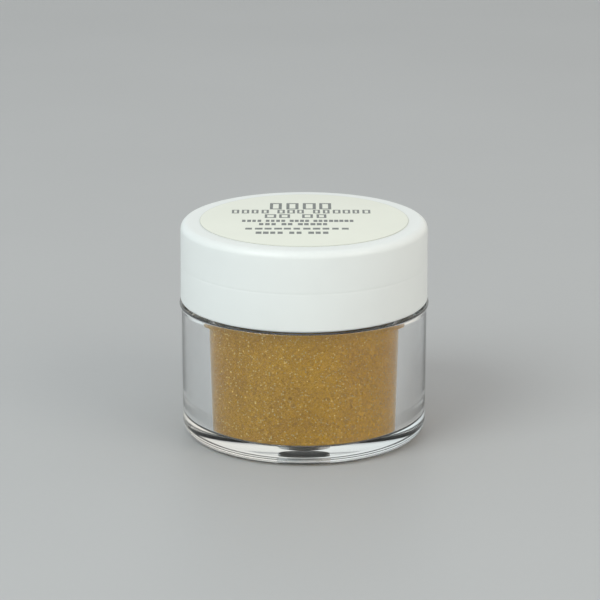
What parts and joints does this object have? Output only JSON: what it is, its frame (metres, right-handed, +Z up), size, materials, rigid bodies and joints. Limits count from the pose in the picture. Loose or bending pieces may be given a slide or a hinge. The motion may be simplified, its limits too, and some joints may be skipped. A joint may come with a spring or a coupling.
{
  "type": "cosmetic powder jar",
  "caption": "Small round clear jar with a thick wall and a threaded neck, filled with fine gold nail powder and closed by a smooth white screw cap with a round label.",
  "frame": {"origin": "middle of the base, on the surface that the jar stands on", "axes": "+Z up along the jar's axis, from the base to the lid; X and Y across it"},
  "size_m": [0.0382, 0.0382, 0.0333],
  "materials": {
    "clear_styrene": "clear, polished",
    "gold_powder": "fine metallic powder with small bright flecks",
    "white_foam": "closed-cell foam, matte",
    "white_polypropylene": "smooth moulded, satin gloss",
    "printed_label": "cream label stock with grey print"
  },
  "bodies": {
    "jar": {"jar_body": "clear_styrene", "powder_fill": "gold_powder"},
    "liner": {"cap_liner": "white_foam"},
    "cap": {"screw_cap": "white_polypropylene", "lid_label": "printed_label"}
  },
  "joints": [
    {"name": "cap_lift", "type": "slide", "parent": "jar", "child": "liner", "axis": [0, 0, 1], "range_m": [0, 0.0127]},
    {"name": "cap_turn", "type": "hinge", "parent": "liner", "child": "cap", "pos_m": [0, 0, 0.0333], "axis": [0, 0, 1], "range_deg": [0, 1080]}
  ],
  "couplings": [
    {"joint": "cap_lift", "follows": "cap_turn", "m_per_rad": 0.00067375}
  ]
}
